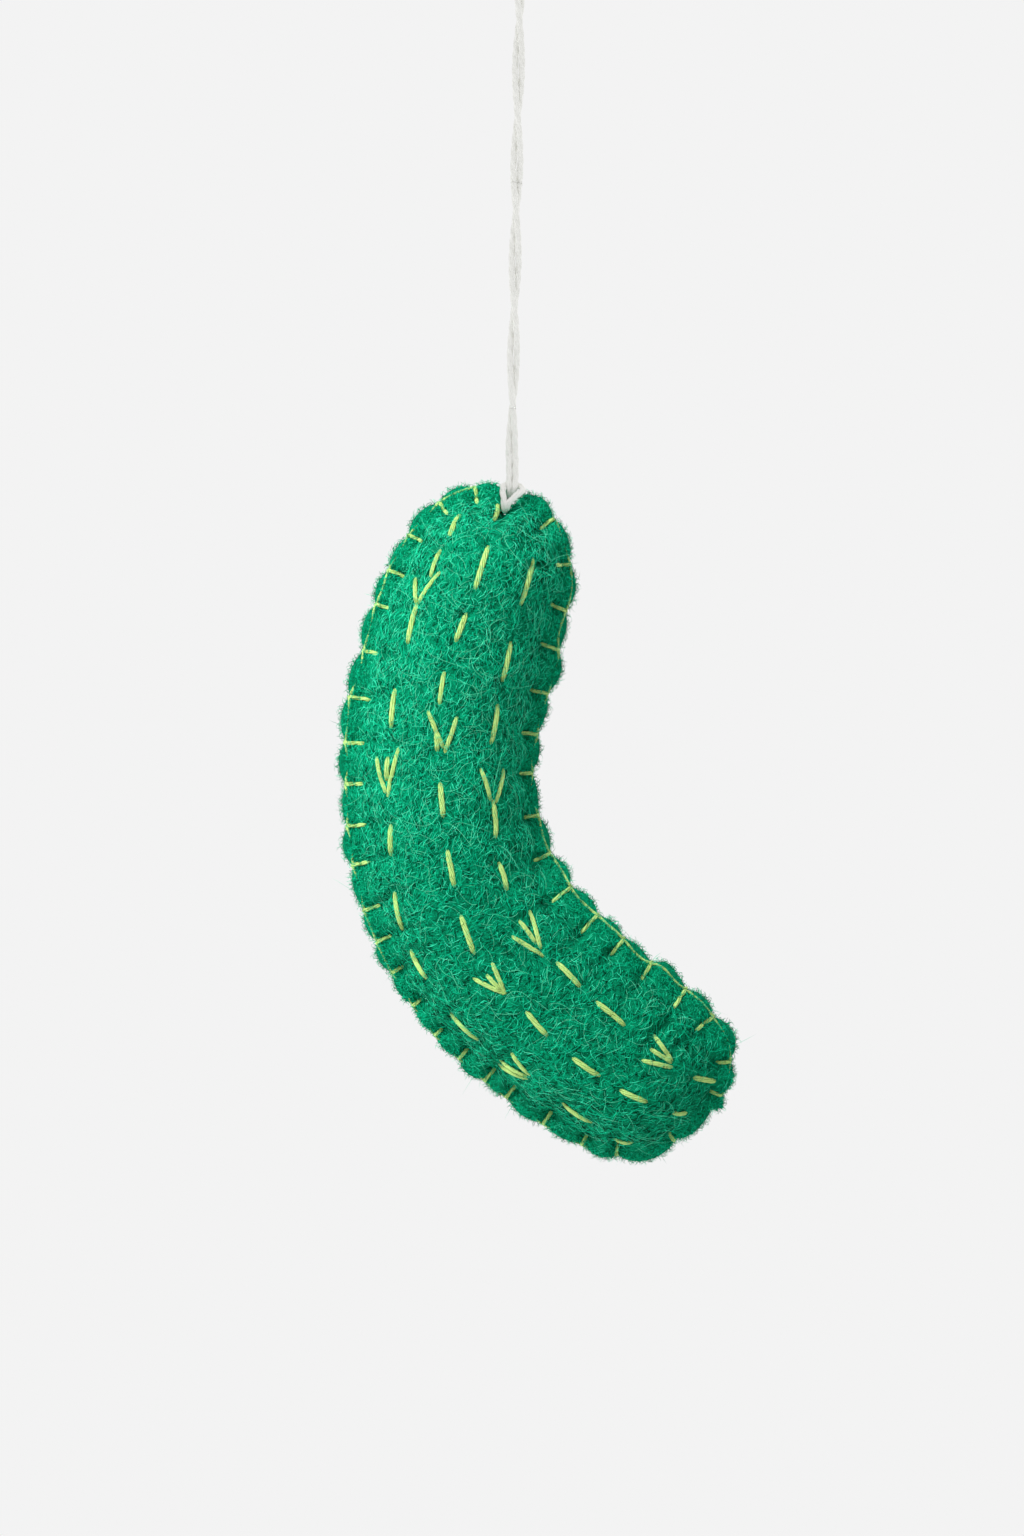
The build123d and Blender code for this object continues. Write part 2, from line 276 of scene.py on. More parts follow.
def fibre_material(name, fibre_size, deep, middle, light, relief, sheen):
    """A matt cloth of tangled fibres, from the shared mat."""
    material = bpy.data.materials.new(name)
    material.use_nodes = True
    tree = material.node_tree
    shader = tree.nodes["Principled BSDF"]
    mat = add_node(tree, "ShaderNodeGroup", node_tree=fibre_mat)
    for socket, value in (("Fibre Size", fibre_size), ("Deep", deep), ("Middle", middle), ("Light", light)):
        mat.inputs[socket].default_value = value
    bump = add_node(tree, "ShaderNodeBump",
                    {"Height": mat.outputs["Height"], "Strength": 0.6, "Distance": relief})
    tree.links.new(mat.outputs["Color"], shader.inputs["Base Color"])
    tree.links.new(bump.outputs["Normal"], shader.inputs["Normal"])
    shader.inputs["Roughness"].default_value = 0.95
    shader.inputs["Specular IOR Level"].default_value = 0.05
    shader.inputs["Sheen Weight"].default_value = sheen
    shader.inputs["Sheen Roughness"].default_value = 0.6
    shader.inputs["Sheen Tint"].default_value = light
    return material


filling_material = fibre_material(
    "loose_white_fibre", fibre_size=1.1 * mm, deep=colour(205, 205, 198), middle=colour(232, 232, 226),
    light=colour(250, 250, 246), relief=0.3 * mm, sheen=0.2,
)
filling_rows = 18
filling_gap = 0.35 * mm
filling_rim = 0.05 * mm
beside_line = 1e-9
filling_edge = (half_width - lip)[:, None] - filling_gap
share = np.linspace(0, 1, filling_rows + 1)[1:]
reach = filling_edge * np.sin(share * math.pi / 2)
height = np.maximum(dome_height(reach, -filling_gap), filling_rim)
both_reach = np.concatenate([reach, reach[:, -2::-1]], axis=1)
both_height = np.concatenate([height, -height[:, -2::-1]], axis=1)
filling_places = body_places(both_reach, both_height)
spine_columns = np.arange(side_steps + 1)
middle = np.full((columns, 1), beside_line)
front_line = body_places(middle, dome_height(middle, -filling_gap))[spine_columns, 0]
back_line = body_places(middle, -dome_height(middle, -filling_gap))[spine_columns, 0]
everywhere = np.concatenate([front_line, filling_places.reshape(-1, 3), back_line])
quads, triangles = grid_faces(2 * filling_rows - 1)
filling = make_piece("fibre_filling_tufts", everywhere, quads, triangles, filling_material)
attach(filling, "pickle")
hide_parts("fibre_filling")


# Felt panels
# Two panels of green wool felt, cut alike, the back one a little larger. The stuffing domes them,
# and the blanket stitch pinches their edges together into one round lobe between each two stitches.
# Each stitch: how far down the left or right side it lies, and how far in it reaches, in mm
left_stitches = (
    (-11.3, 2.9), (-6.9, 3.0), (-0.2, 2.8), (5.1, 2.2), (9.8, 1.9), (15.9, 2.8), (22.0, 3.0), (27.9, 2.8),
    (33.3, 2.7), (38.8, 3.1), (43.2, 2.9), (48.3, 2.5), (52.2, 2.1), (56.2, 1.5), (60.5, 1.2), (64.7, 1.2),
    (68.8, 1.7), (73.1, 2.2), (76.8, 2.1), (82.6, 2.1), (88.4, 1.4), (93.7, 1.4), (101.0, 1.4),
)
right_stitches = (
    (103.1, 1.3), (101.4, 1.5), (96.6, 3.3), (90.8, 3.6), (83.0, 2.4), (75.8, 2.5), (69.2, 3.3), (60.4, 3.3),
    (50.8, 2.6), (40.8, 1.8), (31.8, 1.8), (24.3, 2.2), (15.9, 2.3), (7.2, 2.2), (-0.4, 2.3), (-7.4, 4.2),
    (-12.3, 2.8),
)
notch_depth = 4.2 * mm
notch_left = 1.05 * mm
notch_right = 2.2 * mm
notch_power = 0.9


def seam_column(place, side):
    """Which column, as a real number, meets the seam at a distance down one side of the body."""
    if place < 0:
        angle = math.acos(max(place / half_widths[0], -1))
        angle = angle if side > 0 else 2 * math.pi - angle
        return 2 * side_steps + end_steps + (angle - math.pi / 2) / math.pi * end_steps
    if place > body_length:
        angle = side * math.acos(min((place - body_length) / half_widths[-1], 1))
        return side_steps + (angle + math.pi / 2) / math.pi * end_steps
    if side < 0:
        return place / body_length * side_steps
    return side_steps + end_steps + (1 - place / body_length) * side_steps


seam = body_places(half_width[:, None], np.zeros((columns, 1)))[:, 0]
seam_steps = np.linalg.norm(np.roll(seam, -1, axis=0) - seam, axis=1)
seam_length = seam_steps.sum()
seam_run = np.concatenate([[0], np.cumsum(seam_steps)])


def run_at(column):
    """How far along the seam a column lies."""
    return float(np.interp(column % columns, np.arange(columns + 1), seam_run))


stitches = [(seam_column(place * mm, -1) % columns, leg * mm) for place, leg in left_stitches]
stitches += [(seam_column(place * mm, 1) % columns, leg * mm) for place, leg in right_stitches]
stitches.sort()
stitch_legs = np.array([leg for column, leg in stitches])
notch_run = run_at(seam_column(-half_widths[0] * math.cos(hitch_angle), -1))
stitch_runs = np.array([run_at(column) for column, leg in stitches])
holds = np.sort(np.append(stitch_runs, notch_run))
run = seam_run[:-1]
lobe = np.searchsorted(holds, run, side="right") % len(holds)
lobe_start = np.where(lobe == 0, holds[-1] - np.where(run < holds[0], seam_length, 0), holds[lobe - 1])
lobe_end = np.where(lobe == 0, holds[0] + np.where(run < holds[0], 0, seam_length), holds[lobe])
phase = (run - lobe_start) / (lobe_end - lobe_start)
past_notch = (run - notch_run + seam_length / 2) % seam_length - seam_length / 2
to_notch = np.abs(past_notch)
notch_slope = np.where(past_notch < 0, notch_right, notch_left)
notch = notch_depth * np.maximum(1 - to_notch / notch_slope, 0) ** notch_power
from_each = np.abs((seam_run[:-1, None] - stitch_runs + seam_length / 2) % seam_length - seam_length / 2)
stitch_only = from_each.min(axis=1)
nearest_leg = stitch_legs[from_each.argmin(axis=1)]

# The cut isn't even: how far the edge stands out or in, by its distance down each side
reach_down = distance + along * half_width
left_cut = (
    (-14, 0.2), (-4, -0.4), (4, 0.2), (9, -0.5), (16, -1.0), (24, -0.2), (32, -0.6), (41, -0.6), (50, -0.4),
    (57, -0.2), (66, 0.4), (74, 0.5), (83, 0.9), (93, 0.4), (101, -0.5), (104, -1.6),
)
right_cut = (
    (-14, 0.3), (-8, -0.4), (-3, 0.1), (4, 0.4), (9, 1.1), (18, 0.4), (24, -0.1), (29, -0.6), (36, -0.7),
    (41, -0.2), (48, -0.3), (56, 0.2), (63, -0.2), (74, 0.3), (81, -0.4), (85, 0.3), (90, -0.8), (96, -0.4),
    (101, 0.6), (104, 0.2),
)
notch_calm = 1.5 * mm
trim = np.where(across < 0, eased(*np.array(left_cut).T * mm, reach_down),
                eased(*np.array(right_cut).T * mm, reach_down))
trim *= np.clip(to_notch / notch_calm, 0, 1)

# Lobes stand out most on the inner side near the top and round the lower end
low_end_ease = 6 * mm
low_right = 0.35
low_right_share = 0.3
inner_lobe_gain = 0.2
inner_lobe_end = 30 * mm
lobe_calm = 5 * mm
least_lobe = 0.3
low_end = np.clip((reach_down - body_length) / low_end_ease, 0, 1)
low_end = low_end * np.where(across > low_right, low_right_share, 1.0)
lobe_scale = 1.0 + inner_lobe_gain * ((across > 0) & (distance < inner_lobe_end))
lobe_scale = lobe_scale * np.clip(to_notch / lobe_calm, least_lobe, 1)

outer_rows = 66
edge_rows = 6
inner_rows = 14
draw = np.random.default_rng(41)
lobe_spread = (0.7, 1.3)

# The lip: rounded to the cut, pinched under each stitch and puffed up between stitches
swell_power = 0.62
skin_samples = 260
cut_radius = 0.3 * mm
cut_power = 0.6
lip_share = 0.45
lip_gain = 0.5
rounding_reach = 1.5 * mm
rounding_power = 1.3
leg_pinch = 0.95 * mm
pinch_share = 0.5
pinch_reach = 4.5 * mm
pinch_power = 4
puff_height = 1.5 * mm
puff_reach = 7.5 * mm
fold_softness = 0.5 * mm

# Dimples at the foot of each stitch, gathers beyond it, and the pull of the hitch at the hole
foot_width = 1.0 * mm
foot_reach = 1.15 * mm
foot_depth = 1.7 * mm
gather_width = 1.6 * mm
gather_place = 4.6 * mm
gather_reach = 2.2 * mm
gather_depth = 0.85 * mm
hitch_pull = 1.9 * mm
hitch_reach = 2.2 * mm
hitch_floor = 2.5 * mm
least_height = 0.7 * mm

# The inner face: a gap at the seam, flat under the lip, then close over the filling
seam_gap = 0.03 * mm
inner_start = 0.5 * mm
inner_edge_gap = 0.15 * mm
inner_gap = 0.1 * mm
flat_share = 0.25
inner_turn = 0.97


def felt_skin(bulge, end_bulge, overhang, front):
    """Places of one panel in columns and rows: its outer face, its cut edge and its inner face."""
    lobe_size = (bulge * lobe_scale + end_bulge * low_end) * draw.uniform(*lobe_spread, len(holds))[lobe]
    swell = np.sin(np.pi * phase) ** swell_power
    edge = (half_width + overhang + trim + lobe_size * swell - notch)[:, None]
    fine = np.linspace(0, 1, skin_samples)[None, :] * (edge - cut_radius)
    inward = edge - fine
    to_leg = stitch_only[:, None]
    pinch = np.exp(-((to_leg / leg_pinch) ** 2) - (inward / pinch_reach) ** pinch_power)
    rounding = 1 - np.exp(-((inward / rounding_reach) ** rounding_power))
    lip_top = felt * (lip_share + lip_gain * rounding - pinch_share * pinch)
    puff = puff_height * swell[:, None] * np.sin(np.pi * np.clip(inward / puff_reach, 0, 1))
    dome = dome_height(fine, felt)
    surface = fold_softness * np.logaddexp(dome / fold_softness, (lip_top + puff) / fold_softness)
    foot = (to_leg / foot_width) ** 2 + ((inward - nearest_leg[:, None]) / foot_reach) ** 2
    surface -= foot_depth * np.exp(-foot)
    gather = (to_leg / gather_width) ** 2 + ((inward - gather_place) / gather_reach) ** 2
    surface -= gather_depth * np.exp(-gather)
    from_hole = ((to_notch[:, None] / hitch_pull) ** 2
                 + ((half_width[:, None] - fine - hole_depth) / hitch_reach) ** 2)
    surface -= np.exp(-from_hole) * np.maximum(surface - hitch_floor, 0)
    surface = np.maximum(surface, least_height)
    steps = np.hypot(np.diff(fine, axis=1), np.diff(surface, axis=1))
    travel = np.concatenate([np.zeros((columns, 1)), np.cumsum(steps, axis=1)], axis=1)
    share = np.linspace(0, 1, outer_rows + 1)[1:]
    reach = np.stack([np.interp(share * t[-1], t, f) for t, f in zip(travel, fine)])
    height = np.stack([np.interp(share * t[-1], t, s) for t, s in zip(travel, surface)])
    round_over = np.linspace(0, np.pi, edge_rows + 2)[None, 1:-1]
    edge_reach = edge - cut_radius + cut_radius * np.sin(round_over) ** cut_power
    edge_height = height[:, -1:] * (1 + np.cos(round_over)) / 2 + seam_gap
    inner_edge = (half_width - lip)[:, None] - inner_edge_gap
    share = np.linspace(0, 1, inner_rows)[None, :]
    flat = edge - inner_start + (inner_edge - edge + inner_start) * share / flat_share
    quarter = (share - flat_share) / (1 - flat_share) * math.pi / 2
    inner_reach = np.where(share < flat_share, flat, inner_edge * np.cos(quarter * inner_turn))
    inner_height = np.maximum(dome_height(inner_reach, -inner_gap), seam_gap)
    side = 1 if front else -1
    all_reach = np.concatenate([reach, edge_reach, inner_reach], axis=1)
    all_height = np.concatenate([height, edge_height, inner_height], axis=1) * side
    top_line = body_places(middle, side * dome_height(middle, felt))[spine_columns, 0]
    under_line = body_places(middle, side * dome_height(middle, -inner_gap))[spine_columns, 0]
    return body_places(all_reach, all_height), top_line, under_line


def unit(vectors):
    """Vectors at length one."""
    return vectors / np.maximum(np.linalg.norm(vectors, axis=-1, keepdims=True), tiny)


def outward(places, front):
    """Outward directions of a panel's outer rows, from the places beside each one."""
    before, after = np.roll(places, 1, axis=0), np.roll(places, -1, axis=0)
    rows = np.gradient(places, axis=1)
    facing = unit(np.cross(after - before, rows))
    return -facing if front else facing


front_skin, front_top, front_under = felt_skin(
    bulge=0.1 * mm, end_bulge=1.0 * mm, overhang=-0.3 * mm, front=True,
)
back_skin, back_top, back_under = felt_skin(
    bulge=1.0 * mm, end_bulge=0.5 * mm, overhang=-0.25 * mm, front=False,
)
shown_rows = slice(0, outer_rows + edge_rows)

# Hand-stuffed lumps, and the nap of the felt, which die out towards the cut edge
lump_spread = (0.7, 1.5)
lump_size = 13 * mm
lump_height = 0.28 * mm
nap_size = 2.2 * mm
nap_height = 0.04 * mm
calm_rows = 14


def lumps(places, size, waves=14):
    """Smooth unevenness from -1 to 1, with lumps of about one size."""
    total = np.zeros(places.shape[:-1])
    for k in range(waves):
        way = draw.normal(size=3)
        way *= 2 * math.pi / (size * draw.uniform(*lump_spread) * np.linalg.norm(way))
        total += np.sin(places @ way + draw.uniform(0, 2 * math.pi))
    return total / math.sqrt(2 * waves)


for skin, line, front in ((front_skin, front_top, True), (back_skin, back_top, False)):
    facing = outward(skin, front)[:, shown_rows]
    spots = skin[:, shown_rows]
    rows_in = np.linspace(outer_rows, -edge_rows, outer_rows + edge_rows)
    calm = np.clip(rows_in / calm_rows, 0, 1)[None, :, None]
    everywhere = np.concatenate([spots.reshape(-1, 3), line])
    moves = lumps(everywhere, lump_size) * lump_height
    moves += lumps(everywhere, nap_size) * nap_height
    skin_moves, line_moves = moves[:-len(line)], moves[-len(line):]
    line[:, 1] += line_moves * (-1 if front else 1)
    spots += facing * skin_moves.reshape(spots.shape[:2])[..., None] * calm

# Where the photograph shows each stroke of the three rows of running stitch, in its pixels
photo_scale = 0.155 * mm
photo_lean = math.radians(1.0)
photo_hole = (503.0, 511.5)
photo_nudge = 0.3 * mm


def photo_place(px, py):
    """Place in the seam plane behind a pixel of the photograph."""
    right = (px - photo_hole[0]) * photo_scale
    up = (photo_hole[1] - py) * photo_scale
    x = hole.x - photo_nudge + right * math.cos(photo_lean) - up * math.sin(photo_lean)
    z = hole.z + right * math.sin(photo_lean) + up * math.cos(photo_lean)
    return np.array((x, z))


outer_row = (
    ((460, 516), (450, 537)), ((441, 551), (431, 579)),
    ((416, 578), (417, 606)), ((441, 573), (418, 605)), ((418, 604), (408, 646)),
    ((396, 689), (392, 729)),
    ((377, 756), (387, 794)), ((389, 758), (388, 780)), ((400, 746), (388, 799)),
    ((392, 824), (392, 855)), ((395, 890), (403, 930)), ((411, 949), (427, 978)),
    ((450, 1012), (479, 1040)),
    ((511, 1051), (530, 1074)), ((499, 1059), (527, 1075)), ((498, 1064), (528, 1078)),
    ((562, 1102), (592, 1122)), ((615, 1139), (632, 1142)),
)
middle_row = (
    ((498, 506), (494, 521)), ((489, 547), (475, 592)), ((467, 615), (456, 643)), ((445, 672), (440, 706)),
    ((428, 710), (445, 750)), ((437, 733), (438, 751)), ((458, 716), (445, 754)),
    ((441, 782), (444, 817)), ((448, 849), (455, 886)), ((461, 913), (475, 953)),
    ((492, 960), (506, 992)), ((487, 973), (502, 988)), ((473, 976), (506, 992)),
    ((526, 1009), (547, 1033)), ((572, 1055), (599, 1073)), ((619, 1087), (646, 1099)),
    ((673, 1111), (685, 1112)),
)
inner_row = (
    ((534, 559), (520, 608)), ((511, 642), (502, 683)), ((498, 704), (491, 745)),
    ((481, 768), (491, 801)), ((504, 768), (496, 803)), ((493, 799), (496, 838)),
    ((499, 862), (507, 889)),
    ((529, 908), (541, 948)), ((519, 919), (536, 942)), ((511, 934), (544, 955)),
    ((556, 960), (580, 985)), ((595, 999), (624, 1023)),
    ((652, 1032), (671, 1059)), ((649, 1046), (670, 1060)), ((640, 1057), (672, 1065)),
    ((693, 1076), (714, 1080)),
)
stitch_rows = (
    ("outer_row_stitch", outer_row),
    ("middle_row_stitch", middle_row),
    ("inner_row_stitch", inner_row),
)

# The thread beds into the felt, which dimples where the thread goes in
bed_depth = 0.3 * mm
bed_width = 0.75 * mm
dive_depth = 0.6 * mm
dive_width = 0.95 * mm
spots = front_skin[:, :outer_rows]
facing = outward(front_skin, True)[:, :outer_rows]
sunk = np.zeros(spots.shape[:2])
line_sunk = np.zeros(len(front_top))
for name, strokes in stitch_rows:
    for start, end in strokes:
        a, b = photo_place(*start), photo_place(*end)
        for plan, depth in ((spots[..., (0, 2)], sunk), (front_top[..., (0, 2)], line_sunk)):
            share = np.clip(((plan - a) @ (b - a)) / ((b - a) @ (b - a)), 0, 1)
            away = np.linalg.norm(plan - a - share[..., None] * (b - a), axis=-1)
            ends = np.minimum(np.linalg.norm(plan - a, axis=-1), np.linalg.norm(plan - b, axis=-1))
            np.maximum(depth, bed_depth * np.exp(-((away / bed_width) ** 2)), out=depth)
            np.maximum(depth, dive_depth * np.exp(-((ends / dive_width) ** 2)), out=depth)
spots -= facing * sunk[..., None]
front_top[:, 1] += line_sunk

felt_green = fibre_material(
    "green_wool_felt", fibre_size=0.34 * mm, deep=colour(0, 46, 26), middle=colour(0, 84, 54),
    light=colour(4, 178, 128), relief=0.12 * mm, sheen=0.0,
)
felt_pieces = {}
for name, node, skin, top_line, under_line, front in (
    ("front_felt_panel", "front_felt", front_skin, front_top, front_under, True),
    ("back_felt_panel", "back_felt", back_skin, back_top, back_under, False),
):
    everywhere = np.concatenate([top_line, skin.reshape(-1, 3), under_line])
    quads, triangles = grid_faces(skin.shape[1])
    if not front:
        quads, triangles = quads[:, ::-1], triangles[:, ::-1]
    panel = make_piece(name, everywhere, quads, triangles, felt_green)
    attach(panel, "pickle")
    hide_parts(node)
    felt_pieces[node] = panel


# Running stitch
# Stranded cotton floss in yellow-green, sewn down the front in three rows with small sprigs. Each
# row is one thread that dives through the felt at each end of a stitch.
before_body = -50 * mm
front_tree = BVHTree.FromObject(felt_pieces["front_felt"], bpy.context.evaluated_depsgraph_get())


def on_front(place):
    """Point of the front felt before a place in the seam plane, and the way that it faces."""
    start = Vector((place[0], before_body, place[1]))
    point, facing = front_tree.ray_cast(start, Vector((0, 1, 0)))[:2]
    return np.array(point), np.array(facing)


def run_along(path):
    """How far along a path each of its points lies."""
    return np.concatenate([[0], np.cumsum(np.linalg.norm(np.diff(path, axis=0), axis=1))])


first_beside = (0.31, 0.95, 0.12)


def twisted_plies(path, plies, ply_radius, spread, lay, sides=6, flatness=1.0, facing=None, turn=0.0,
                  widths=1.0):
    """Places and faces of a yarn's plies, twisted together along a path of close points."""
    path = np.asarray(path, float)
    ahead = unit(np.gradient(path, axis=0))
    if facing is None:
        facing = np.zeros_like(path)
        facing[0] = np.cross(ahead[0], first_beside)
        for k in range(1, len(path)):
            facing[k] = unit(facing[k - 1] - ahead[k] * (facing[k - 1] @ ahead[k]))
    facing = unit(facing - ahead * np.sum(facing * ahead, axis=1, keepdims=True))
    beside = np.cross(ahead, facing)
    length = run_along(path)
    places, quads, triangles = [], [], []
    for ply in range(plies):
        angle = turn + 2 * math.pi * (ply / plies + length / lay)
        around = np.cos(angle)[:, None] * beside + flatness * np.sin(angle)[:, None] * facing
        centre = path + spread * widths * around
        rings = []
        for k in range(sides):
            way = 2 * math.pi * k / sides
            rings.append(centre + ply_radius * widths * (math.cos(way) * beside + math.sin(way) * facing))
        start = sum(len(p) for p in places)
        count = len(path)
        places.append(np.stack(rings, axis=1).reshape(-1, 3))
        index = start + np.arange(count * sides).reshape(count, sides)
        now, then = index[:-1], index[1:]
        beyond = [np.roll(now, -1, axis=1), np.roll(then, -1, axis=1)]
        quads.append(np.stack([now, *beyond, then], axis=-1).reshape(-1, 4))
        for ring, flip in ((index[0], True), (index[-1], False)):
            fan = [(ring[0], ring[k], ring[k + 1]) for k in range(1, sides - 1)]
            triangles.append(np.array([t[::-1] if flip else t for t in fan]))
    return np.concatenate(places), np.concatenate(quads), np.concatenate(triangles)


floss = fibre_material(
    "yellow_green_floss", fibre_size=0.14 * mm, deep=colour(119, 156, 65), middle=colour(168, 208, 112),
    light=colour(208, 240, 155), relief=0.03 * mm, sheen=0.0,
)
floss_shader = floss.node_tree.nodes["Principled BSDF"]
floss_shader.inputs["Roughness"].default_value = 0.62
floss_shader.inputs["Specular IOR Level"].default_value = 0.2
floss_plies = 6
floss_ply = 0.135 * mm
floss_spread = 0.3 * mm
sprig_share = 0.82
sprig_gap = 14
floss_lay = 9 * mm
floss_flatness = 0.55
stroke_steps = 30
stroke_overrun = 0.4 * mm
stroke_lift = 0.27 * mm
stroke_dive = 1.5 * mm
rise_power = 0.2
end_share = 0.7
end_run = 0.25
float_depth = 2.2 * mm

for name, strokes in stitch_rows:
    path, ways, widths = [], [], []
    for start, end in strokes:
        a, b = photo_place(*start), photo_place(*end)
        past = (b - a) / np.linalg.norm(b - a) * stroke_overrun
        a, b = a - past, b + past
        meets = sum(math.dist(end, other) < sprig_gap for stroke in strokes for other in stroke) > 1
        for k in range(stroke_steps + 1):
            share = k / stroke_steps
            point, facing = on_front(a + (b - a) * share)
            rise = math.sin(math.pi * share) ** rise_power if 0 < share < 1 else 0.0
            lift = stroke_lift * rise - stroke_dive * (1 - rise)
            path.append(point + facing * lift)
            ways.append(facing)
            narrowed = end_share + (1 - end_share) * min(1, share / end_run, (1 - share) / end_run)
            widths.append(narrowed * (sprig_share if meets else 1))
        point, facing = on_front(b)
        path.append(point - facing * float_depth)
        ways.append(facing)
        widths.append(widths[-1])
    places, quads, triangles = twisted_plies(
        path, floss_plies, floss_ply, floss_spread, floss_lay, flatness=floss_flatness, facing=np.array(ways),
        widths=np.array(widths)[:, None],
    )
    row = make_piece(name + "_floss", places, quads, triangles, floss)
    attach(row, "pickle")
    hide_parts(name)


# Blanket stitch
# The same floss, one thread round the edge: along the seam to each stitch, in over the front felt,
# through both felts and back over the other side.
front_facing = outward(front_skin, True)
back_facing = outward(back_skin, False)
rows_to_seam = 3
leg_row = outer_rows + edge_rows - rows_to_seam
leg_steps = 16
leg_lift = 0.14 * mm
leg_width = 1.25
leg_dive = 0.9 * mm
dive_run = 0.7 * mm
dive_power = 0.5
dive_sink = 0.8 * mm
back_legs = (2.3, 3.1)


def between(values, run, wanted):
    """Places or directions at wanted distances, between those given at each distance of a run."""
    return np.stack([np.interp(wanted, run, values[:, k]) for k in range(3)], axis=1)


def leg_points(skin, facing, column, leg, lift):
    """Points over a felt's edge and in to the foot of a stitch, from the seam, and their facings."""
    line = skin[column, leg_row::-1]
    way = facing[column, leg_row::-1]
    total = leg + leg_dive
    wanted = np.linspace(0, total, leg_steps)
    points = between(line, run_along(line), wanted)
    ways = unit(between(way, run_along(line), wanted))
    rise = np.clip((total - wanted) / dive_run, 0, 1) ** dive_power
    return points + ways * (lift * rise - dive_sink * (1 - rise))[:, None], ways


# Between stitches the thread lies along the seam, sunk by so many mm, and shows best past the bend
seam_step = 3
bend_place = 50 * mm
shown_sink = 0.05
hidden_sinks = (0.1, 0.4, 0.6)
thread_out = 0.02 * mm
low_end_in = 0.5 * mm
thread_front = 0.15 * mm
edging_plies = 3
edging_spread = 0.13 * mm
edging_lay = 7 * mm
edging_flatness = 0.75
seam_out = np.stack([np.gradient(seam[:, 2]), seam[:, 0] * 0, -np.gradient(seam[:, 0])], axis=1)
seam_out = unit(seam_out)
path, ways, widths = [], [], []
order = [(round(column) % columns, leg) for column, leg in stitches]
start_at = int(np.argmin([(run_at(column) - notch_run) % seam_length for column, leg in order]))
order = order[start_at:] + order[:start_at]
for k, (column, leg) in enumerate(order):
    front_leg, front_ways = leg_points(front_skin, front_facing, column, leg, leg_lift)
    behind = draw.uniform(*back_legs) * mm
    back_leg, back_ways = leg_points(back_skin, back_facing, column, behind, leg_lift)
    path += list(front_leg) + list(back_leg[::-1])
    ways += list(front_ways) + list(back_ways[::-1])
    widths += [leg_width] * (len(front_leg) + len(back_leg))
    if k + 1 < len(order):
        after = order[k + 1][0]
        gap = (after - column) % columns
        shown = across[column] > 0 and reach_down[column] > bend_place
        sink = (shown_sink if shown else draw.choice(hidden_sinks)) * mm
        for step in range(1, gap, seam_step):
            now = (column + step) % columns
            out = half_width[now] + trim[now] + thread_out - notch[now]
            out -= sink * math.sin(math.pi * step / gap) ** 2
            out -= low_end_in * low_end[now] * (across[now] < low_right)
            spot = body_places(np.full((columns, 1), out), np.full((columns, 1), thread_front))[now, 0]
            path.append(spot)
            ways.append(seam_out[now])
            widths.append(1)
places, quads, triangles = twisted_plies(
    path, edging_plies, floss_ply, edging_spread, edging_lay, flatness=edging_flatness, facing=np.array(ways),
    widths=np.array(widths)[:, None],
)
edging = make_piece("edge_stitch_floss", places, quads, triangles, floss)
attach(edging, "pickle")
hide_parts("edge_stitch")


# Felt fuzz
# Loose ends and loops of the wool that stand up from the felt's faces and its cut edge. They catch
# the light as fine pale hairs and soften the outline.
hair_shades = {
    "deep": colour(0, 40, 22),
    "middle": colour(0, 134, 92),
    "light": colour(12, 194, 144),
    "bright": colour(64, 236, 188),
    "pale": colour(92, 216, 172),
}
wool_hair = {}
for shade, value in hair_shades.items():
    wool_hair[shade] = bpy.data.materials.new(f"{shade}_green_wool_hair")
    wool_hair[shade].use_nodes = True
    shader = wool_hair[shade].node_tree.nodes["Principled BSDF"]
    shader.inputs["Base Color"].default_value = value
    shader.inputs["Roughness"].default_value = 0.9
    shader.inputs["Specular IOR Level"].default_value = 0.04


# The fibres lie along the body near the top, and fan out across it lower down
top_grain = math.radians(75)
low_grain = math.radians(35)
low_fan = math.radians(50)
fan_start = 38 * mm
fan_ease = 15 * mm
lower = np.clip((distance - fan_start) / fan_ease, 0, 1)
grain_strength = 1.9
thinned = 1.0

# Each hair rises from below the skin, bends two ways as it runs out, and thins to its tip
bare_notch = 0.4 * mm
bare_ease = 2 * mm
second_curl = 0.6
curl_shortening = 0.25
rise_turn = 0.62
root_depth = 1.5
body_round = 14 * mm
hair_tilt = 0.01
tip_thinning = 0.55
hair_sides = 3


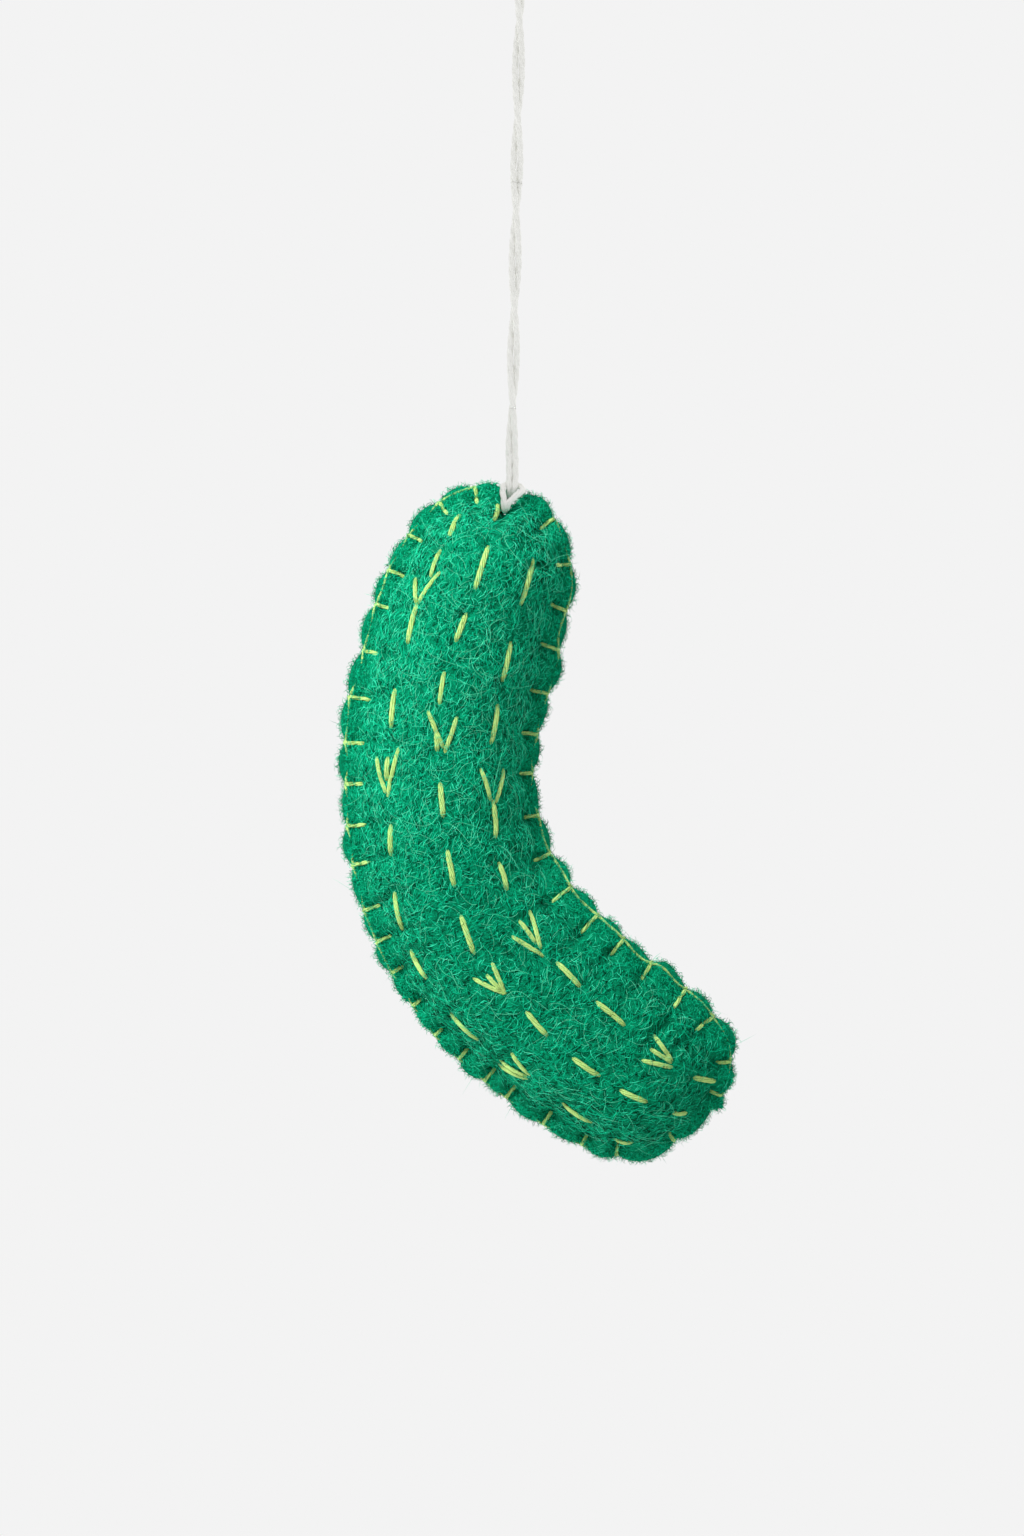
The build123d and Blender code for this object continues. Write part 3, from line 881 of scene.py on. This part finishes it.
def hairs(name, skin, facing, rows, count, lengths, thickness, stand, curl, steps, shade, low_share=1.0):
    """Wool hairs rooted all over some rows of a panel: curved tubes of three sides, closed at the tip."""
    count = int(count * thinned)
    cells = skin[:, rows]
    ways = facing[:, rows]
    beside = np.roll(cells, -1, axis=0)
    area = np.linalg.norm(np.cross(beside[:, :-1] - cells[:, :-1], cells[:, 1:] - cells[:, :-1]), axis=-1)
    area *= np.clip((to_notch - bare_notch) / bare_ease, 0, 1)[:, None]
    # Painted shade: hairs of the light shades are thinned in the lower body, and only the given share of them
    # is kept there
    area *= (1 - (1 - low_share) * lower)[:, None]
    spread = (np.arange(count) + draw.random(count)) / count * area.sum()
    chosen = np.minimum(np.searchsorted(np.cumsum(area), spread), area.size - 1)
    column, row = np.unravel_index(chosen, area.shape)
    u, v = draw.random((2, count, 1))
    roots = (cells[column, row] * (1 - u) * (1 - v) + beside[column, row] * u * (1 - v)
             + cells[column, row + 1] * v)
    roots = np.where(u + v > 1, cells[column, row] + (beside[column, row] - cells[column, row]) * u, roots)
    up = unit(ways[column, row])
    offset = across[column] * np.minimum((row + rows.start) / outer_rows, 1)
    grain = top_grain * (1 - lower[column]) + (low_grain + low_fan * offset) * lower[column]
    way = np.stack([np.cos(grain), grain * 0, np.sin(grain)], axis=1)
    lean = draw.normal(size=(count, 3)) + way * grain_strength * draw.choice((-1, 1), (count, 1))
    lean = unit(lean - up * np.sum(lean * up, axis=1, keepdims=True))
    cross = np.cross(up, lean)
    length = draw.uniform(*lengths, (count, 1))
    rise = draw.uniform(*stand, (count, 1))
    bend = draw.normal(0, curl, (count, 1))
    second = draw.normal(0, curl * second_curl, (count, 1))
    share = np.linspace(0, 1, steps)[None, :, None]
    lean, cross, up = lean[:, None], cross[:, None], up[:, None]
    length, rise, bend, second = length[:, None], rise[:, None], bend[:, None], second[:, None]
    forward = lean * (share - curl_shortening * bend ** 2 * share ** 2)
    flat = length * (forward + cross * (bend * share ** 2 + second * share ** 3))
    lift = length * rise * np.sin(np.pi * share * rise_turn) - thickness * root_depth
    lift = lift - (length * share) ** 2 / (2 * body_round)
    centre = roots[:, None] + flat + up * lift
    ahead = unit(np.gradient(centre, axis=1))
    side_way = unit(np.cross(ahead, up + hair_tilt * lean))
    over = np.cross(side_way, ahead)
    taper = thickness * (1 - tip_thinning * share)
    ring = []
    for k in range(hair_sides):
        angle = 2 * math.pi * k / hair_sides
        out = math.cos(angle) * side_way + math.sin(angle) * over
        ring.append(centre[:, :-1] + taper[:, :-1] * out[:, :-1])
    body = np.stack(ring, axis=2).reshape(count, -1, 3)
    places = np.concatenate([body, centre[:, -1:]], axis=1)
    each = places.shape[1]
    base = (np.arange(count) * each)[:, None]
    quads, triangles = [], []
    for start in range(0, (steps - 2) * hair_sides, hair_sides):
        for k in range(hair_sides):
            now, after = start + k, start + (k + 1) % hair_sides
            quads.append((now, after, after + hair_sides, now + hair_sides))
    last = (steps - 2) * hair_sides
    for k in range(hair_sides):
        triangles.append((last + k, last + (k + 1) % hair_sides, each - 1))
    triangles.append((2, 1, 0))
    quads = (base[:, :, None] + np.array(quads)[None]).reshape(-1, 4)
    triangles = (base[:, :, None] + np.array(triangles)[None]).reshape(-1, 3)
    piece = make_piece(name, places.reshape(-1, 3), quads, triangles, wool_hair[shade])
    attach(piece, "pickle")


# Short nap all over, longer curls, a few loose hairs that cross the stitches, and fuzz at the cut. The light
# and bright nap and the light and pale curls thin out in the lower body as painted shade.
bare_rows = 9
fuzz_rows = 6
whole_face = slice(0, outer_rows)
inner_face = slice(0, outer_rows - bare_rows)
cut_edge = slice(outer_rows - fuzz_rows, outer_rows + edge_rows)
for side, skin, facing in (("front", front_skin, front_facing), ("back", back_skin, back_facing)):
    for shade, rows, count, thickness, low_share in (
        ("deep", inner_face, 8400, 0.056, 1.0), ("middle", whole_face, 6000, 0.042, 1.0),
        ("light", whole_face, 6600, 0.05, 0.55), ("bright", whole_face, 5400, 0.047, 0.4),
    ):
        hairs(f"{side}_felt_{shade}_nap", skin, facing, rows, count, lengths=(0.7 * mm, 2.0 * mm),
              thickness=thickness * mm, stand=(0.05, 0.22), curl=0.45, steps=5, shade=shade,
              low_share=low_share)
    for shade, count in (("light", 2200), ("pale", 1000)):
        hairs(f"{side}_felt_{shade}_curls", skin, facing, inner_face, count, lengths=(1.4 * mm, 3.8 * mm),
              thickness=0.036 * mm, stand=(0.05, 0.2), curl=0.8, steps=8, shade=shade, low_share=0.6)
    hairs(f"{side}_felt_loose_hairs", skin, facing, inner_face, 500, lengths=(1.8 * mm, 4.2 * mm),
          thickness=0.034 * mm, stand=(0.22, 0.5), curl=0.9, steps=8, shade="light")
    # Painted light and shade at the cut: many light hairs brighten the front lips, and fewer on the back
    # panel darken its lobes
    for shade, count in (("middle", 5500), ("light", 7000 if side == "front" else 3600), ("deep", 1000)):
        hairs(f"{side}_edge_{shade}_fuzz", skin, facing, cut_edge, count, lengths=(0.35 * mm, 1.0 * mm),
              thickness=0.042 * mm, stand=(0.3, 1.0), curl=0.6, steps=5, shade=shade)


# String
# White cotton string of three plies, one length folded in two: the two strands twist gently about
# each other from the hitch in the felt up to the eye.
string_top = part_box("upper_string")[1].z
string_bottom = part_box("lower_string")[0].z
string_turns = 2.5
strand_offset = 0.53 * mm
cotton = fibre_material(
    "white_cotton", fibre_size=0.35 * mm, deep=colour(238, 238, 232), middle=colour(249, 249, 245),
    light=colour(254, 254, 251), relief=0.03 * mm, sheen=0.0,
)
ply_radius = 0.33 * mm
ply_spread = 0.19 * mm
ply_lay = 6.5 * mm
string_plies = 3
ply_sides = 7
ply_start = 1.0
line_spacing = 0.35 * mm
route_spacing = 0.3 * mm
fewest_points = 8


def smooth_route(points, spacing):
    """Even points along the smooth curve that a string's route makes."""
    curve = bpy.data.curves.new("route", "CURVE")
    curve.dimensions = "3D"
    spline = curve.splines.new("NURBS")
    spline.points.add(len(points) - 1)
    for corner, point in zip(spline.points, points):
        corner.co = (*point, 1)
    spline.order_u = 3
    spline.use_endpoint_u = True
    spline.resolution_u = 24
    holder = put_in_scene("route", curve)
    mesh = bpy.data.meshes.new_from_object(holder)
    found = np.array([vertex.co for vertex in mesh.vertices], float)
    bpy.data.objects.remove(holder)
    bpy.data.curves.remove(curve)
    bpy.data.meshes.remove(mesh)
    run = run_along(found)
    return between(found, run, np.linspace(0, run[-1], max(int(run[-1] / spacing), fewest_points)))


def strand_place(z, side):
    """Where a strand lies at a height of the twisted string."""
    turn = 2 * math.pi * string_turns * (string_top - z) / (string_top - string_bottom)
    return Vector((side * strand_offset * math.cos(turn), side * strand_offset * math.sin(turn), z))


def strand_plies(path, **others):
    """Places and faces of one strand's three plies along a path."""
    return twisted_plies(path, string_plies, ply_radius, ply_spread, ply_lay, sides=ply_sides, **others)


def joined(parts):
    """Several sets of places and faces as one."""
    places, quads, triangles, start = [], [], [], 0
    for corners, fours, threes in parts:
        places.append(corners)
        quads.append(fours + start)
        triangles.append(threes + start)
        start += len(corners)
    return np.concatenate(places), np.concatenate(quads), np.concatenate(triangles)


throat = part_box("hanging_eye")[0].z
upper_end = -45 * mm
lower_end = -80 * mm


def string_length(name, top, bottom):
    """A length of the string: two strands of three plies about a straight line down."""
    line = smooth_route([(0, 0, top), (0, 0, (top + bottom) / 2), (0, 0, bottom)], line_spacing)
    parts = []
    for side in (1, -1):
        path = np.array([strand_place(z, side) for z in line[:, 2]])
        parts.append(strand_plies(path, turn=ply_start + side))
    return make_piece(name, *joined(parts), cotton), line


upper_string, upper_line = string_length("upper_string_strands", throat, upper_end)
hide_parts("upper_string")
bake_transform(upper_string)
lower_string, lower_line = string_length("lower_string_strands", upper_end, lower_end)
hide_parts("lower_string")
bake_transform(lower_string)


# String hitch
# The fold of the same string, passed through a hole below the felts' top edge as a cow hitch. The two
# strands come down through the notch in the edge to the back, forward through the hole, up over the
# front felt as the two legs of a V, and across behind the strands as a bar that holds them.
# Corners of its way in mm from the hole
hitch_corners = (
    (0.5, 0, 8.2), (0.55, -0.9, 5.4), (0.6, -1.7, 4.0), (0.5, -1.4, 2.7), (0.1, 0.9, 1.3), (-0.3, 2.6, 0.0),
    (-0.15, -3.2, -0.1), (-0.1, -4.1, 0.7), (-0.22, -3.7, 1.7), (-0.36, -2.8, 2.8), (-0.45, -1.6, 3.9),
    (0.3, -0.5, 4.3), (1.2, -0.4, 4.2), (2.2, -0.7, 4.0), (2.8, -1.7, 3.3), (2.1, -2.8, 2.7),
    (1.1, -3.7, 1.9), (0.4, -4.1, 0.9), (0.15, -3.2, -0.1), (0.2, 2.6, 0.0), (0.6, 0.9, 1.3),
    (1.2, -1.4, 2.7), (1.5, -1.7, 4.0), (1.55, -0.9, 5.4), (1.5, 0, 8.2),
)
hole_squeeze = 0.25
squeeze_reach = 3 * mm
squeeze_power = 4
way_down = (lower_end, (lower_end + string_bottom) / 2, string_bottom)
hitch_route = [strand_place(z, 1) for z in way_down]
hitch_route += [hole + Vector(point) * mm for point in hitch_corners]
hitch_route += [strand_place(z, -1) for z in way_down[::-1]]
hitch_path = smooth_route(hitch_route, route_spacing)
to_hole = np.linalg.norm(hitch_path - np.array(hole), axis=1, keepdims=True)
squeezed = 1 - hole_squeeze * np.exp(-((to_hole / squeeze_reach) ** squeeze_power))
hitch = make_piece("string_hitch_strand", *strand_plies(hitch_path, widths=squeezed), cotton)
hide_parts("string_hitch")
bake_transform(hitch)


# Hanging eye and end knot
# Above the twisted length the two strands part into an eye for a hook. Their ends are wound
# together in a knot above it and stand up as two cut tails.
eye_parts = []
for side in (-1, 1):
    # Corners of a strand's way in mm from the top of the eye
    beside = side * strand_offset / mm
    eye_route = [
        (beside, 0, -11.55), (beside, 0, -10.6), (side * 3.2, 0, -7.2), (side * 3.2, 0, -4.8),
        (beside, 0, 0), (beside, 0, 4.575), (side * 1.76, side * 0.6, 12.6),
    ]
    eye_path = smooth_route([Vector(point) * mm for point in eye_route], route_spacing)
    eye_parts.append(strand_plies(eye_path, turn=side))
eye = make_piece("hanging_eye_strands", *joined(eye_parts), cotton)
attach(eye, "hanging_eye")
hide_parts("hanging_eye")

knot_turns = 3.2
turn_steps = 14
knot_radius = 1.55 * mm
knot_pitch = 1.05 * mm
knot_base = 0.5 * mm
end_draw_in = 0.45
draw_in_power = 6
knot_points = []
for k in range(int(knot_turns * turn_steps) + 1):
    turn = k / turn_steps
    share = turn / knot_turns
    radius = knot_radius * (1 - end_draw_in * (abs(2 * share - 1) ** draw_in_power))
    knot_points.append((
        radius * math.cos(2 * math.pi * turn), radius * math.sin(2 * math.pi * turn),
        knot_base + knot_pitch * turn,
    ))
knot = make_piece("end_knot_winding", *strand_plies(smooth_route(knot_points, route_spacing)), cotton)
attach(knot, "hanging_eye")
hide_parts("end_knot")


# Studio
# A pale floor well below the ornament, soft light from the upper left and all round, and a camera
# straight before it.
floor_mesh = bpy.data.meshes.new("studio_floor")
floor_height = -800 * mm
floor_half = 2400 * mm
floor_ways = ((-1, -1), (1, -1), (1, 1), (-1, 1))
floor_corners = [(x * floor_half, y * floor_half, floor_height) for x, y in floor_ways]
floor_mesh.from_pydata(floor_corners, [], [(0, 1, 2, 3)])
floor_material = bpy.data.materials.new("pale_floor")
floor_material.use_nodes = True
floor_shader = floor_material.node_tree.nodes["Principled BSDF"]
floor_shader.inputs["Base Color"].default_value = colour(242, 242, 242)
floor_shader.inputs["Roughness"].default_value = 0.9
floor_mesh.materials.append(floor_material)
floor = put_in_scene("studio_floor", floor_mesh)

world = bpy.data.worlds.new("pale_studio")
world.use_nodes = True
backdrop = world.node_tree.nodes["Background"]
backdrop.inputs["Color"].default_value = colour(243, 243, 243)
backdrop.inputs["Strength"].default_value = 1.0
bpy.context.scene.world = world

# The main lamp passes over the string, which is as evenly pale as what lies behind it
body_centre = Vector((0.0, 0, -140 * mm))
for name, place, size, power in (
    ("key_light", (-0.22, -0.24, 0.08), 0.13, 2.1),
    ("back_light", (0.5, 0.9, 0.4), 0.6, 5.0),
    ("low_light", (-0.2, 0.07, -0.42), 0.25, 0.6),
):
    lamp = bpy.data.lights.new(name, "AREA")
    lamp.size = size
    lamp.energy = power
    holder = put_in_scene(name, lamp)
    holder.location = Vector(place)
    holder.rotation_euler = (body_centre - holder.location).to_track_quat("-Z", "Y").to_euler()
    if name == "key_light":
        spared = bpy.data.collections.new("pieces_spared_by_key_light")
        for piece in (upper_string, lower_string, hitch, eye, knot):
            spared.objects.link(piece)
        for entry in spared.collection_objects:
            entry.light_linking.link_state = "EXCLUDE"
        holder.light_linking.receiver_collection = spared

photo_width, photo_height = 1024, 1536
camera_distance = 1000 * mm
frame_height = photo_height * photo_scale
frame_centre = photo_place(photo_width / 2, photo_height / 2)
camera = bpy.data.cameras.new("camera")
camera.lens = camera.sensor_width * camera_distance / frame_height
camera_holder = put_in_scene("camera", camera)
camera_holder.location = (frame_centre[0], -camera_distance, frame_centre[1])
camera_holder.rotation_euler = (math.pi / 2, -photo_lean, 0)
bpy.context.scene.camera = camera_holder
bpy.context.scene.view_settings.view_transform = "Standard"
